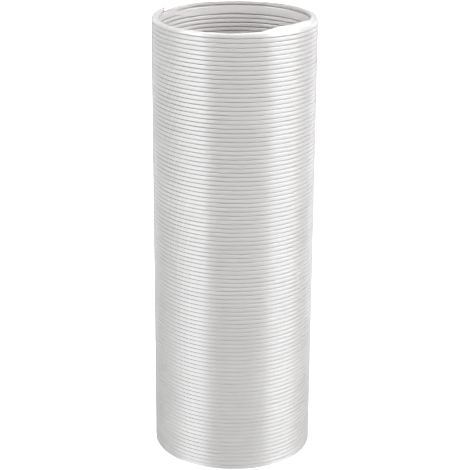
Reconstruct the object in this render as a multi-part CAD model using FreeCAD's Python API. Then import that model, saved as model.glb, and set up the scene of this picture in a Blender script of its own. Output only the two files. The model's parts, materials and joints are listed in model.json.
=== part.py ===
import FreeCAD, Part
import math
import os

# A flexible air duct of nominal 150 mm, standing on its lower end and pushed together.
# One plastic strip is wound into a tube: each turn is a pleat that opens when the duct is pulled out.
# The turns are modelled in links of a few turns, which slide apart along +Z as the pleats open.
# The origin is the middle of the lower mouth, +Z runs up the duct, and -Y is the front.

V = FreeCAD.Vector
UP = V(0, 0, 1)

# The wall, in millimetres.
duct_diameter = 150.0        # over the ribs, the nominal size
pleat_depth = 6.5            # from the bore to the outside of the ribs
pleat_pitch = 4.01           # one turn, pushed together
rib_width = 2.6              # flat outside of a turn; the groove takes the rest of its pitch
root_wall = 1.0              # plastic left behind the bottom of a groove
flats = 24                   # sides that stand for each round turn

# How the turns are divided.
turns_per_link = 4
link_count = 26

# The last turn has nothing above it to hold it folded, so its inner edge springs up on one side.
lip_wall = 2.2
lip_rise = 3.0               # over the rim, where it is highest
lip_azimuth = 50.0           # degrees from the front, towards +X
lip_spread = 80.0            # degrees of the rim over which it stands up

# The strip is cut square where it ends. Past the cut, the turn below is the rim, and it climbs.
end_azimuth = -120.0         # degrees from the front, towards +X
end_drop = 3.2               # height of the step at the cut
end_run = 90.0               # degrees of the rim over which it climbs back

crest_radius = duct_diameter / 2
bore_radius = crest_radius - pleat_depth
bore_corner = bore_radius / math.cos(math.pi / flats)
root_radius = bore_corner + root_wall
link_height = turns_per_link * pleat_pitch


def around(azimuth):
    """The level direction at an azimuth in degrees, counted from the front (-Y) towards +X."""
    turn = math.radians(azimuth)
    return V(math.sin(turn), -math.cos(turn), 0)


def flat_sided_ring(radius, z):
    """A closed wire of equal flats whose corners lie on a circle, with a corner on +X at every height."""
    step = 2 * math.pi / flats
    corners = [V(radius * math.cos(step * i), radius * math.sin(step * i), z) for i in range(flats)]
    return Part.makePolygon(corners + corners[:1])


def with_plane_faces(loft):
    """The same solid with each flat as a true plane, which a loft only approximates by a spline."""
    faces = []
    for face in loft.Faces:
        corners = [vertex.Point for vertex in face.OuterWire.OrderedVertexes]
        faces.append(Part.Face(Part.makePolygon(corners + corners[:1])))
    shell = Part.makeShell(faces)
    shell.sewShape()
    return Part.makeSolid(shell)


def pleated_body(foot_radius):
    """The turns of one link without their bore: a ruled loft through the four rings of each rib."""
    rings = [flat_sided_ring(foot_radius, 0.0)]
    for turn in range(turns_per_link):
        middle = (turn + 0.5) * pleat_pitch
        rings.append(flat_sided_ring(crest_radius, middle - rib_width / 2))
        rings.append(flat_sided_ring(crest_radius, middle + rib_width / 2))
        rings.append(flat_sided_ring(root_radius, (turn + 1) * pleat_pitch))
    return with_plane_faces(Part.makeLoft(rings, True, True))


def flat_sided_bore():
    """The clear way through a middle link, with the middle of its flats on the bore's circle."""
    return Part.Face(flat_sided_ring(bore_corner, 0.0)).extrude(UP * link_height)


def round_bore(height):
    """The clear way through an end link, round so that a spigot seats in it."""
    return Part.makeCylinder(bore_radius, height)


def space_above(height, slope, azimuth):
    """A block over a plane that crosses the axis at a height and climbs towards an azimuth."""
    side = 2 * duct_diameter
    block = Part.makeBox(side, side, crest_radius, V(-side / 2, -side / 2, 0))
    upright = UP - around(azimuth) * slope
    block.Placement = FreeCAD.Placement(UP * height, FreeCAD.Rotation(UP, upright)).multiply(block.Placement)
    return block


def middle_link():
    return pleated_body(root_radius).cut(flat_sided_bore())


def bottom_link():
    """The first turns, trimmed flat below so that the duct stands on its whole wall."""
    return pleated_body(crest_radius).cut(round_bore(link_height))


def sprung_lip():
    """A plug whose slanted top rises out of the rim on one side; the bore leaves its outer wall."""
    lip_radius = bore_radius + lip_wall
    seat = link_height - pleat_pitch / 2
    plug = Part.makeCylinder(lip_radius, pleat_pitch / 2 + lip_rise, UP * seat)
    slope = lip_rise / (lip_radius * (1 - math.cos(math.radians(lip_spread / 2))))
    return plug.cut(space_above(link_height + lip_rise - slope * lip_radius, slope, lip_azimuth))


def past_the_cut():
    """The room that the strip leaves where it ends: deepest at the square cut, and running out along the rim."""
    start = end_azimuth - end_run
    sector = Part.makeCylinder(duct_diameter, pleat_pitch, UP * (link_height - pleat_pitch), UP, end_run)
    sector.rotate(V(0, 0, 0), UP, start - 90.0)
    slope = end_drop / (crest_radius * math.sin(math.radians(end_run)))
    return sector.common(space_above(link_height, slope, start - 90.0))


def top_link():
    """The last turns, with the sprung lip and the cut end of the strip."""
    body = pleated_body(root_radius).fuse(sprung_lip()).cut(past_the_cut())
    return body.cut(round_bore(link_height + lip_rise)).removeSplitter()


def save(link, index):
    """Write the link at its place in the stack, named by the turns that it holds."""
    solid, = link.translated(UP * (index * link_height)).Solids
    first = index * turns_per_link + 1
    name = "turns_%03d_to_%03d" % (first, first + turns_per_link - 1)
    solid.exportStep("parts/%s.step" % name)
    box = solid.BoundBox
    print("%s: %d faces, z %.2f to %.2f mm, %.0f mm3" % (name, len(solid.Faces), box.ZMin, box.ZMax, solid.Volume))


def main():
    os.makedirs("parts", exist_ok=True)
    save(bottom_link(), 0)
    middle = middle_link()
    for index in range(1, link_count - 1):
        save(middle, index)
    save(top_link(), link_count - 1)


main()
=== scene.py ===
# %% [markdown]
# # A flexible air duct, wound from one plastic strip
# The duct stands pushed together on its lower end. It is a single extruded strip of white
# plastic, wound to the left and hooked to itself, so that every turn is a pleat which opens
# when the duct is pulled out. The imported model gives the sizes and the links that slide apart.
# Everything here is in metres, in the frame's own place.

# %% Load the frame
import json
import math

import bmesh
import bpy
import numpy as np
from mathutils import Matrix, Vector


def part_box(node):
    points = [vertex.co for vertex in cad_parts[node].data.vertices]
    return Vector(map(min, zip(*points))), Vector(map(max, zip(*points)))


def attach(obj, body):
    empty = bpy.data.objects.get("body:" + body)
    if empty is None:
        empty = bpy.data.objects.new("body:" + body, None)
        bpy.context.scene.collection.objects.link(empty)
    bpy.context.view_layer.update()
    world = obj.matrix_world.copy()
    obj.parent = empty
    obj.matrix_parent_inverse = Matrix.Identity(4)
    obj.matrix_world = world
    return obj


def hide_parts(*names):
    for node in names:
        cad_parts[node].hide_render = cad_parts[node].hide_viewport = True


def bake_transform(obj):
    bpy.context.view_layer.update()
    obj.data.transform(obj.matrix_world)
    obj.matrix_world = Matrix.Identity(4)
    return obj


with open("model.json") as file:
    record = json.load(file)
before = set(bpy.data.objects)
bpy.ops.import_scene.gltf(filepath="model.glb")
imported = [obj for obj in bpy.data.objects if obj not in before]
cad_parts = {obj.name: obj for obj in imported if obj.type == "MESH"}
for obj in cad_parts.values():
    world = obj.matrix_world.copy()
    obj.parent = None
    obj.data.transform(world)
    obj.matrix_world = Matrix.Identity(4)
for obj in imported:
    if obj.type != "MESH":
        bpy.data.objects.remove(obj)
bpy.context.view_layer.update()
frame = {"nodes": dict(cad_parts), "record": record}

# %% [markdown]
# ## Sizes
# The frame holds the duct as a stack of links, each a few turns high. Reading the links from
# the lowest to the highest gives the pitch, the outer radius and the places where the stretch
# has to pass from one link to the next. The bore's radius comes from the lower mouth's mount. Of
# all these, only the number of turns in a link is typed in.

# %% Sizes from the frame
links = sorted(frame["nodes"], key=lambda name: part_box(name)[0].z)
low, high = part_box(links[0])
link_height = high.z - low.z
outer_radius = high.x
turns_per_link = 4           # as the links' names say
pitch = link_height / turns_per_link
turn_count = turns_per_link * len(links)
mounts = {mount["name"]: mount for mount in frame["record"]["mounts"]}
bore_radius = mounts["lower_mouth"]["dims"]["r_mm"] / 1000
print(f"{len(links)} links of {link_height * 1000:.2f} mm, {turn_count} turns, pitch {pitch * 1000:.3f} mm")

# %% [markdown]
# ## The strip's section
# Cut through, one turn looks like a V lying on its side: a shallow bead on the outside, and two
# legs that reach in to half a bead each, where the next turn hooks on. Pushed together, the legs
# lie flat on each other, and only narrow slits between the beads show. The outline could be a
# profile drawn with a curve, but arcs worked out from the bead's height and the slit's width
# keep every turn the same, and the few numbers below can be tuned against the photograph.

# %% One turn of the section, as points across (outwards) and up
slit_outside = 0.00060       # gap between two beads on the outside
slit_inside = 0.00075        # gap between two beads in the bore
bead_depth = 0.0004          # how far an outer bead bulges
bead_fullness = 0.75         # 1 makes it half an ellipse, less makes it fuller
inner_round = 0.00065        # radius of an inner bead's shoulders
slit_end_outside = 0.0706    # radius at which the outer slit ends
slit_taper = 0.0004          # the outer slit opens to its full width over this depth
slit_end_inside = 0.0730     # radius at which the inner slit ends
slit_drop = 0.0002           # the inner slit lies this far under the turn's middle
edge_play = 0.00001          # keeps a turn just clear of the next one


def outer_bead(half, steps):
    """The bulge from its lower to its upper edge: half an ellipse, filled out at its shoulders."""
    def fuller(value):
        return math.copysign(abs(value) ** bead_fullness, value)
    angles = [math.radians(-90 + 180 * s / steps) for s in range(steps + 1)]
    across = [outer_radius - bead_depth * (1 - fuller(math.cos(a))) for a in angles]
    return list(zip(across, [half * fuller(math.sin(a)) for a in angles]))


def inner_shoulder(height, start, steps):
    """A quarter circle that rounds an inner bead, about a point at a height, from one angle on."""
    middle = bore_radius + inner_round
    angles = [math.radians(start + 90 * s / steps) for s in range(steps + 1)]
    return [(middle + inner_round * math.cos(a), height + inner_round * math.sin(a)) for a in angles]


def section_outline(steps=4):
    """The closed outline of one turn, counter-clockwise, its middle at height 0."""
    half = pitch / 2
    outer_half = half - slit_outside / 2
    inner_half = slit_inside / 2
    points = [(bore_radius, -half + edge_play), (slit_end_outside, -half + edge_play)]
    points += [(slit_end_outside + slit_taper, -outer_half)]
    points += outer_bead(outer_half, 3 * steps)
    points += [(slit_end_outside + slit_taper, outer_half)]
    points += [(slit_end_outside, half - edge_play), (bore_radius, half - edge_play)]
    points += inner_shoulder(inner_half + inner_round - slit_drop, 180, steps)
    points += [(slit_end_inside, inner_half - slit_drop), (slit_end_inside, -inner_half - slit_drop)]
    points += inner_shoulder(-inner_half - inner_round - slit_drop, 90, steps)
    return points


outline = section_outline()
print(f"section: {len(outline)} points")

# %% [markdown]
# ## Winding the strip with Geometry Nodes
# A duct this long has over a hundred turns, and they all follow one rule, so nodes wind it: a
# line of points is bent into a left-handed helix, and the section is swept along it. The object
# that carries the modifier is the section itself, so the outline can be looked at on its own.
# A Screw modifier could wind it too, but it can't name the turn that each point lies on, which
# the last turn needs later. The tree keeps that number as an attribute.

# %% The node tree
LEFT_HANDED = -1.0


def winding_tree():
    """The node group that sweeps the section along a helix."""
    tree = bpy.data.node_groups.new("wind_strip", "GeometryNodeTree")
    interface = tree.interface
    interface.new_socket("Section", in_out="INPUT", socket_type="NodeSocketGeometry")
    for name, kind in (
        ("First Turn", "NodeSocketFloat"), ("Turns", "NodeSocketFloat"),
        ("Steps per Turn", "NodeSocketInt"), ("Pitch", "NodeSocketFloat"),
        ("Lift", "NodeSocketFloat"), ("Rail Radius", "NodeSocketFloat"), ("Hand", "NodeSocketFloat"),
        ("Start Angle", "NodeSocketFloat"), ("Plastic", "NodeSocketMaterial"),
    ):
        interface.new_socket(name, in_out="INPUT", socket_type=kind)
    interface.new_socket("Strip", in_out="OUTPUT", socket_type="NodeSocketGeometry")
    node = tree.nodes.new
    link = tree.links.new
    given = node("NodeGroupInput")
    out = node("NodeGroupOutput")

    def maths(operation, a, b=None, c=None):
        made = node("ShaderNodeMath")
        made.operation = operation
        for socket, value in zip(made.inputs, (a, b, c)):
            if value is None:
                continue
            if isinstance(value, (int, float)):
                socket.default_value = value
            else:
                link(value, socket)
        return made.outputs[0]

    # the rail: one point a step, and the turn that each point lies on
    steps = maths("MULTIPLY", given.outputs["Turns"], given.outputs["Steps per Turn"])
    count = maths("ADD", maths("ROUND", steps), 1.0)
    line = node("GeometryNodeMeshLine")
    link(count, line.inputs["Count"])
    index = node("GeometryNodeInputIndex")
    turn = maths("ADD", maths("DIVIDE", index.outputs[0], given.outputs["Steps per Turn"]),
                 given.outputs["First Turn"])
    angle = maths("MULTIPLY_ADD", maths("MULTIPLY", turn, given.outputs["Hand"]), 2 * math.pi,
                  given.outputs["Start Angle"])
    place = node("ShaderNodeCombineXYZ")
    radius = given.outputs["Rail Radius"]
    link(maths("MULTIPLY", maths("SINE", angle), radius), place.inputs["X"])
    link(maths("MULTIPLY", maths("COSINE", angle), maths("MULTIPLY", radius, -1.0)), place.inputs["Y"])
    height = maths("MULTIPLY", turn, given.outputs["Pitch"])
    link(maths("ADD", height, given.outputs["Lift"]), place.inputs["Z"])
    store = node("GeometryNodeStoreNamedAttribute")
    store.data_type = "FLOAT"
    store.domain = "POINT"
    store.inputs["Name"].default_value = "turn"
    link(line.outputs["Mesh"], store.inputs["Geometry"])
    link(turn, store.inputs["Value"])
    bend = node("GeometryNodeSetPosition")
    link(store.outputs["Geometry"], bend.inputs["Geometry"])
    link(place.outputs["Vector"], bend.inputs["Position"])
    rail = node("GeometryNodeMeshToCurve")
    link(bend.outputs["Geometry"], rail.inputs["Mesh"])
    upright = node("GeometryNodeSetCurveNormal")
    upright.mode = "Z_UP"
    link(rail.outputs["Curve"], upright.inputs["Curve"])

    # the section, swept along the rail with its two ends closed
    profile = node("GeometryNodeMeshToCurve")
    link(given.outputs["Section"], profile.inputs["Mesh"])
    sweep = node("GeometryNodeCurveToMesh")
    sweep.inputs["Fill Caps"].default_value = True
    link(upright.outputs["Curve"], sweep.inputs["Curve"])
    link(profile.outputs["Curve"], sweep.inputs["Profile Curve"])
    whole = node("GeometryNodeRealizeInstances")
    link(sweep.outputs["Mesh"], whole.inputs["Geometry"])
    paint = node("GeometryNodeSetMaterial")
    link(whole.outputs["Geometry"], paint.inputs["Geometry"])
    link(given.outputs["Plastic"], paint.inputs["Material"])
    link(paint.outputs["Geometry"], out.inputs["Strip"])
    return tree


wind = winding_tree()
print(f"node tree {wind.name} with {len(wind.nodes)} nodes")

# %% [markdown]
# ## The plastic
# The strip is natural white polypropylene: milky, and semi-gloss from the die that it was pressed
# through. Light passing into the plastic could be worked out too, but here an opaque white with
# a slightly warm tone stands for it, and a coat gives the broad, soft shine.
# Extruded plastic isn't quite even in tone, so the colour and the roughness vary softly, and a
# very fine bump breaks the reflections up. Everything is read from the object's own place.

# %% The strip's material
def strip_plastic():
    """Milky white plastic under a soft shine."""
    material = bpy.data.materials.new("natural_white_polypropylene")
    material.use_nodes = True
    tree = material.node_tree
    shader = tree.nodes["Principled BSDF"]
    shader.inputs["IOR"].default_value = 1.5
    shader.inputs["Specular IOR Level"].default_value = 1.0
    shader.inputs["Coat Weight"].default_value = 1.0
    shader.inputs["Coat IOR"].default_value = 1.7
    shader.inputs["Coat Roughness"].default_value = 0.30
    where = tree.nodes.new("ShaderNodeTexCoord")

    # soft differences in tone from turn to turn
    stretch = tree.nodes.new("ShaderNodeMapping")
    stretch.inputs["Scale"].default_value = (9.0, 9.0, 60.0)
    tree.links.new(where.outputs["Object"], stretch.inputs["Vector"])
    cloud = tree.nodes.new("ShaderNodeTexNoise")
    cloud.inputs["Scale"].default_value = 1.0
    cloud.inputs["Detail"].default_value = 3.0
    tree.links.new(stretch.outputs["Vector"], cloud.inputs["Vector"])
    tone = tree.nodes.new("ShaderNodeValToRGB")
    tone.color_ramp.elements[0].position = 0.25
    tone.color_ramp.elements[0].color = (0.872, 0.845, 0.826, 1)
    tone.color_ramp.elements[1].position = 0.75
    tone.color_ramp.elements[1].color = (0.915, 0.887, 0.867, 1)
    tree.links.new(cloud.outputs["Fac"], tone.inputs["Fac"])
    tree.links.new(tone.outputs["Color"], shader.inputs["Base Color"])

    # a faint mottle, as roughness and bump
    fine = tree.nodes.new("ShaderNodeTexNoise")
    fine.inputs["Scale"].default_value = 900.0
    fine.inputs["Detail"].default_value = 2.0
    tree.links.new(where.outputs["Object"], fine.inputs["Vector"])
    gloss = tree.nodes.new("ShaderNodeMapRange")
    gloss.inputs["To Min"].default_value = 0.29
    gloss.inputs["To Max"].default_value = 0.39
    tree.links.new(cloud.outputs["Fac"], gloss.inputs["Value"])
    tree.links.new(gloss.outputs["Result"], shader.inputs["Roughness"])
    bump = tree.nodes.new("ShaderNodeBump")
    bump.inputs["Strength"].default_value = 0.06
    bump.inputs["Distance"].default_value = 0.0002
    tree.links.new(fine.outputs["Fac"], bump.inputs["Height"])
    tree.links.new(bump.outputs["Normal"], shader.inputs["Normal"])
    return material


plastic = strip_plastic()

# %% [markdown]
# ## Winding a stretch of strip
# One function winds the strip from one turn to another. It runs the node tree on the section and
# keeps the result as a plain mesh. The start angle follows from the place where the strip is cut:
# on the left of the rim, a little to the back.

# %% Wind from one turn to another
steps_per_turn = 144
rail_radius = (outer_radius + bore_radius) / 2
phase = 0.0012                       # how far the helix sits above an even stack of rings
end_azimuth = math.radians(-120.0)   # where the strip is cut, from the front towards +X


def section_object(name):
    """The section as an object, drawn flat, so that the sweep can stand it up along the rail."""
    mesh = bpy.data.meshes.new(name)
    points = [(rail_radius - across, -up, 0.0) for across, up in outline]
    edges = [(i, (i + 1) % len(points)) for i in range(len(points))]
    mesh.from_pydata(points, edges, [])
    made = bpy.data.objects.new(name, mesh)
    bpy.context.scene.collection.objects.link(made)
    return made


def wound_strip(name, first_turn, last_turn):
    """A plain mesh object of the strip from one turn to another, counted up from the floor."""
    maker = section_object(name + "_section")
    modifier = maker.modifiers.new("wind", "NODES")
    modifier.node_group = wind
    socket = {item.name: item.identifier for item in wind.interface.items_tree if item.in_out == "INPUT"}
    start_angle = end_azimuth - LEFT_HANDED * 2 * math.pi * turn_count
    for label, value in (
        ("First Turn", float(first_turn)), ("Turns", float(last_turn - first_turn)),
        ("Steps per Turn", steps_per_turn), ("Pitch", pitch), ("Lift", phase - pitch / 2),
        ("Rail Radius", rail_radius), ("Hand", LEFT_HANDED), ("Start Angle", start_angle),
        ("Plastic", plastic),
    ):
        modifier[socket[label]] = value
    bpy.context.view_layer.update()
    seen = maker.evaluated_get(bpy.context.evaluated_depsgraph_get())
    mesh = bpy.data.meshes.new_from_object(seen)
    mesh.name = name
    bpy.data.objects.remove(maker)
    made = bpy.data.objects.new(name, mesh)
    bpy.context.scene.collection.objects.link(made)
    return made


# %% [markdown]
# ## The last turns
# Nothing lies on the last turn, so its upper leg isn't held. On the right of the front it has
# sprung up like a lip. From the front to the cut end, on the left, it lies down instead: its inner
# edge drops and the whole turn gets lower. All the way round it is a little taller than a pressed
# turn, most of all at the back, where it stands open, and its shoulder leans in. One turn of the
# inner fold is pulled flat, which leaves a smooth band twice as high as the ribs under it. These
# are small moves of the wound mesh, worked out from the turn that each point lies on.

# %% Where and how far the last turns move
def before_end(turns):
    """The count at a number of turns before the strip's cut end."""
    return turn_count - turns


spring_lift = 0.0030                 # of the lip, at its inner edge
spring_from, spring_to = before_end(0.525), before_end(0.41)
spring_fade = 0.03                   # turns over which the lip rises and falls
flat_from, flat_to = before_end(1.97), before_end(0.96)   # where the inner fold is pulled flat
flat_fade = 0.03
flat_shoulders = 0.95                # share of the slit's shoulders that goes flat with it
flat_margin = 0.0001                 # keeps the slit's end inside the flattened part
lie_from, lie_full = before_end(0.40), before_end(0.32)   # the upper leg lies down from here on
outer_kept = 0.85                    # share of its height that the outside keeps at the cut end
inner_kept_first = 0.72              # the inside keeps this share where it lies down
inner_kept_last = 0.45               # and this share at the cut end
open_rise = 0.0005                   # the last turn is this much taller than a pressed one
open_rise_fade = 0.05
open_rise_back = 0.0015              # and this much more where it stands open, at the back
open_from, open_to = before_end(0.97), before_end(0.54)
open_fade = 0.04
shoulder_lean = 0.0012               # how far the top of the last turn leans in
shoulder_lean_fade = 0.1
end_slant = math.radians(15.0)       # the cut runs back by this much from its outer to its inner edge
end_slant_turns = 0.1                # turns over which the slant comes in


def fade(x, start, end):
    """0 before start, 1 after end, and smooth between."""
    t = np.clip((x - start) / (end - start), 0.0, 1.0)
    return t * t * (3 - 2 * t)


def window(x, start, end, soft):
    """1 between start and end, 0 outside, with edges that are soft to both sides."""
    return fade(x, start - soft, start + soft) * (1 - fade(x, end - soft, end + soft))


# %% Move the last turns' points
def pull_fold_flat(radius, above, turn):
    """The radius of each point once the inner fold of one turn is pulled flat."""
    mouth = slit_inside / 2 + inner_round * flat_shoulders
    in_slit = (np.abs(above + slit_drop) < mouth) & (radius < slit_end_inside + flat_margin)
    return radius + (bore_radius - radius) * in_slit * window(turn, flat_from, flat_to, flat_fade)


def shape_last_turns(piece):
    """Moves the points of the last turns from an even helix to the open end's own form."""
    mesh = piece.data
    count = len(mesh.vertices)
    co = np.empty(count * 3)
    mesh.vertices.foreach_get("co", co)
    co = co.reshape(-1, 3)
    turn = np.empty(count)
    mesh.attributes["turn"].data.foreach_get("value", turn)
    angle = np.arctan2(co[:, 1], co[:, 0])
    radius = np.hypot(co[:, 0], co[:, 1])
    floor_of_turn = turn * pitch + phase - pitch
    height = co[:, 2] - floor_of_turn
    crest = outer_radius - bead_depth
    inward = np.clip((crest - radius) / (crest - bore_radius), 0, 1)
    last = turn > before_end(1)

    # the last turn stands open a little, more so at the back
    rise = open_rise * fade(turn, before_end(1), before_end(1) + open_rise_fade)
    rise += open_rise_back * window(turn, open_from, open_to, open_fade)
    height *= 1 + rise / pitch

    # the lip, and the leg that lies down
    upper = last & (height > pitch / 2 - slit_drop)
    lift = upper * spring_lift * inward * window(turn, spring_from, spring_to, spring_fade)
    along = np.clip((turn - lie_from) / (turn_count - lie_from), 0, 1)
    outside = 1 - (1 - outer_kept) * along
    inside = inner_kept_first + (inner_kept_last - inner_kept_first) * along
    kept = 1 + (outside + (inside - outside) * inward - 1) * fade(turn, lie_from, lie_full)
    co[:, 2] = floor_of_turn + height * kept + lift

    # the shoulder, the flat fold and the slanted end
    lean = shoulder_lean * np.clip(height / pitch, 0, 1) ** 2 * (1 - inward)
    lean *= fade(turn, before_end(1), before_end(1) + shoulder_lean_fade)
    radius = pull_fold_flat(radius, height - pitch / 2, turn) - lean
    angle += end_slant * inward * fade(turn, before_end(end_slant_turns), turn_count)
    co[:, 0] = radius * np.cos(angle)
    co[:, 1] = radius * np.sin(angle)
    mesh.vertices.foreach_set("co", co.ravel())
    mesh.update()


# %% [markdown]
# ## Level cuts
# The stretch moves every height by its own amount, so two pieces stay closed against each other
# only where they meet at one height. Each piece is therefore wound a little too long at both
# ends and then cut level. A boolean with a box would do it too, but a plane cut with its loops
# filled is quicker and stays closed. The lowest cut is also the flat foot that the duct stands on.

# %% Cut a piece level
cut_tolerance = 1e-7         # points this near to the plane count as lying on it


def cut_level(piece, level, keep_above):
    """Cuts a piece off level at a height and closes the cut."""
    side = 1 if keep_above else -1
    work = bmesh.new()
    work.from_mesh(piece.data)
    everything = work.verts[:] + work.edges[:] + work.faces[:]
    cut = bmesh.ops.bisect_plane(work, geom=everything, dist=cut_tolerance, plane_co=(0, 0, level),
                                 plane_no=(0, 0, side), clear_inner=True)
    rim = [part for part in cut["geom_cut"] if isinstance(part, bmesh.types.BMEdge)]
    bmesh.ops.triangle_fill(work, use_beauty=True, edges=rim, normal=(0, 0, -side))
    bmesh.ops.recalc_face_normals(work, faces=work.faces[:])
    open_edges = sum(1 for edge in work.edges if len(edge.link_faces) != 2)
    work.to_mesh(piece.data)
    work.free()
    if open_edges:
        print(f"{piece.name}: {open_edges} open edges after the cut at {level * 1000:.2f} mm")


# %% [markdown]
# ## One piece for each stretch between two links
# A piece runs from the middle of one link to the middle of the next. The ones between the two
# ends are all alike, four whole turns, so one is made and copied upwards.

# %% The pieces
spare_turns = 1.5            # wound past each level cut, so that the cut crosses whole turns
turns_below_floor = 0.4      # the strip starts this far down, and the foot's cut takes it off
crease = math.radians(38)    # a sharper edge than this stays sharp in the shading
middles = [link_height * (i + 0.5) for i in range(len(links))]


def strip_piece(name, low, high):
    """The strip between two heights; None is the floor or the free end."""
    first = -turns_below_floor if low is None else low / pitch - spare_turns
    last = turn_count if high is None else min(turn_count, high / pitch + spare_turns)
    piece = wound_strip(name, first, last)
    if last > flat_from:
        shape_last_turns(piece)
    cut_level(piece, low or 0.0, keep_above=True)
    if high is not None:
        cut_level(piece, high, keep_above=False)
    piece.data.shade_smooth()
    piece.data.set_sharp_from_angle(angle=crease)
    return piece


pieces = [strip_piece("strip_bottom", None, middles[0]), strip_piece("strip_01", middles[0], middles[1])]
for i in range(2, len(links) - 1):
    mesh = pieces[1].data.copy()
    mesh.name = f"strip_{i:02d}"
    mesh.transform(Matrix.Translation((0, 0, link_height * (i - 1))))
    copy = bpy.data.objects.new(mesh.name, mesh)
    bpy.context.scene.collection.objects.link(copy)
    pieces.append(copy)
pieces.append(strip_piece(f"strip_{len(links) - 1:02d}", middles[-2], middles[-1]))
pieces.append(strip_piece("strip_top", middles[-1], None))
print(f"{len(pieces)} pieces, {len(pieces[1].data.polygons)} faces in a whole one, "
      f"{sum(len(piece.data.polygons) for piece in pieces)} in all")

# %% [markdown]
# ## The floor, the light and the camera
# The photograph shows the duct on plain white, from a little above, with a long lens. The white
# could be a backdrop that also lights the duct, but then neither could be set without the other.
# So the floor and the walls round it show only to the camera and cast no shadow, and soft boxes
# alone give the light: tall ones on both sides, which leave the middle of the tube a shade darker
# than its shoulders, smaller ones above them and, through the floor, below them, weak ones at the
# back, and two from high up that light the mouth.

# %% The floor and the walls
def pale_floor():
    """A white floor with four walls, which glow evenly and touch no other ray than the camera's."""
    mesh = bpy.data.meshes.new("floor")
    reach, wall_height = 9.0, 12.0
    corners = [(-reach, -reach), (reach, -reach), (reach, reach), (-reach, reach)]
    points = [(x, y, z) for z in (0.0, wall_height) for x, y in corners]
    walls = [(i, i + 4, (i + 1) % 4 + 4, (i + 1) % 4) for i in range(4)]
    mesh.from_pydata(points, [], [(0, 1, 2, 3)] + walls)
    material = bpy.data.materials.new("pale_floor")
    material.use_nodes = True
    shader = material.node_tree.nodes["Principled BSDF"]
    shader.inputs["Base Color"].default_value = (0.9, 0.9, 0.9, 1)
    shader.inputs["Roughness"].default_value = 0.9
    shader.inputs["Emission Color"].default_value = (1, 1, 1, 1)
    shader.inputs["Emission Strength"].default_value = 1.0
    mesh.materials.append(material)
    floor = bpy.data.objects.new("floor", mesh)
    bpy.context.scene.collection.objects.link(floor)
    floor.visible_diffuse = False
    floor.visible_glossy = False
    floor.visible_shadow = False


pale_floor()

# %% The lights
light_aim = Vector((0.0, 0.0, 0.3))
light_colour = (0.965, 0.98, 1.0)    # a cool white


def soft_box(name, azimuth, elevation, width, height, power, distance=3.6):
    """A lamp that faces the duct, from an azimuth (from the front towards +X) and an elevation."""
    data = bpy.data.lights.new(name, "AREA")
    data.shape = "RECTANGLE"
    data.size = width
    data.size_y = height
    data.energy = power
    data.color = light_colour
    lamp = bpy.data.objects.new(name, data)
    around, up = math.radians(azimuth), math.radians(elevation)
    way = Vector((math.sin(around) * math.cos(up), -math.cos(around) * math.cos(up), math.sin(up)))
    lamp.location = light_aim + way * distance
    lamp.rotation_euler = way.to_track_quat("Z", "Y").to_euler()
    bpy.context.scene.collection.objects.link(lamp)


soft_box("left_box", azimuth=-48, elevation=2, width=1, height=5.6, power=60)
soft_box("left_side_box", azimuth=-72, elevation=2, width=0.8, height=5.6, power=37.2)
soft_box("right_box", azimuth=66, elevation=2, width=2, height=5.6, power=60)
soft_box("right_side_box", azimuth=90, elevation=2, width=0.8, height=5.6, power=33.2)
soft_box("left_front_box", azimuth=-60, elevation=22, width=1.4, height=1.4, power=28)
soft_box("right_front_box", azimuth=66, elevation=22, width=1.4, height=1.4, power=58)
soft_box("left_low_box", azimuth=-60, elevation=-42, width=1.8, height=1.8, power=15.6)
soft_box("right_low_box", azimuth=66, elevation=-42, width=1.8, height=1.8, power=11.6)
soft_box("left_wall", azimuth=-145, elevation=0, width=1.6, height=3.6, power=12)
soft_box("right_wall", azimuth=145, elevation=0, width=1.6, height=3.6, power=18.4)
soft_box("back_high_box", azimuth=180, elevation=60, width=1.8, height=1.8, power=108)
soft_box("top_box", azimuth=0, elevation=89.9, width=3.2, height=3.2, power=44, distance=3)

# %% The surroundings and the picture's tones
world = bpy.data.worlds.new("dark_room")
world.use_nodes = True
world.node_tree.nodes["Background"].inputs["Strength"].default_value = 0.0
bpy.context.scene.world = world
bpy.context.scene.view_settings.view_transform = "Standard"

# %% The camera
camera_distance = 1.386      # from the duct's axis
camera_height = 0.709
camera_pitch = 19.87         # degrees below level
camera_roll = 0.38           # degrees
camera_yaw = 0.06            # degrees
focal_pixels = 1563.0        # focal length, in pixels of the photograph
image_side = 470.0           # pixels
lens = bpy.data.cameras.new("camera")
lens.sensor_width = 36.0
lens.lens = focal_pixels / image_side * lens.sensor_width
lens.clip_end = 30.0
camera = bpy.data.objects.new("camera", lens)
camera.matrix_world = (
    Matrix.Translation((0.0, -camera_distance, camera_height))
    @ Matrix.Rotation(math.radians(-camera_yaw), 4, "Z")
    @ Matrix.Rotation(math.radians(90.0 - camera_pitch), 4, "X")
    @ Matrix.Rotation(math.radians(camera_roll), 4, "Z")
)
bpy.context.scene.collection.objects.link(camera)
bpy.context.scene.camera = camera
print(f"lens {lens.lens:.1f} mm")

# %% [markdown]
# ## Put the pieces in place of the links
# Each link slides from the lowest one, and the farther up it is, the farther it goes. Here every link's
# own part is hidden and the strip's pieces stand in for it. The lowest piece rides with the lowest
# link's body and the top piece with the highest one's. The pieces between are baked where they stand
# and ride with no body.

# %% Ride and replace
nodes_of_body = frame["record"]["behaviour"]["bodies"]
body_of_node = {node: body for body, nodes in nodes_of_body.items() for node in nodes}
bodies = [body_of_node[link] for link in links]


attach(pieces[0], bodies[0])
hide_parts(links[0])
for i in range(1, len(links)):
    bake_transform(pieces[i])
    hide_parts(links[i])
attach(pieces[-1], bodies[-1])
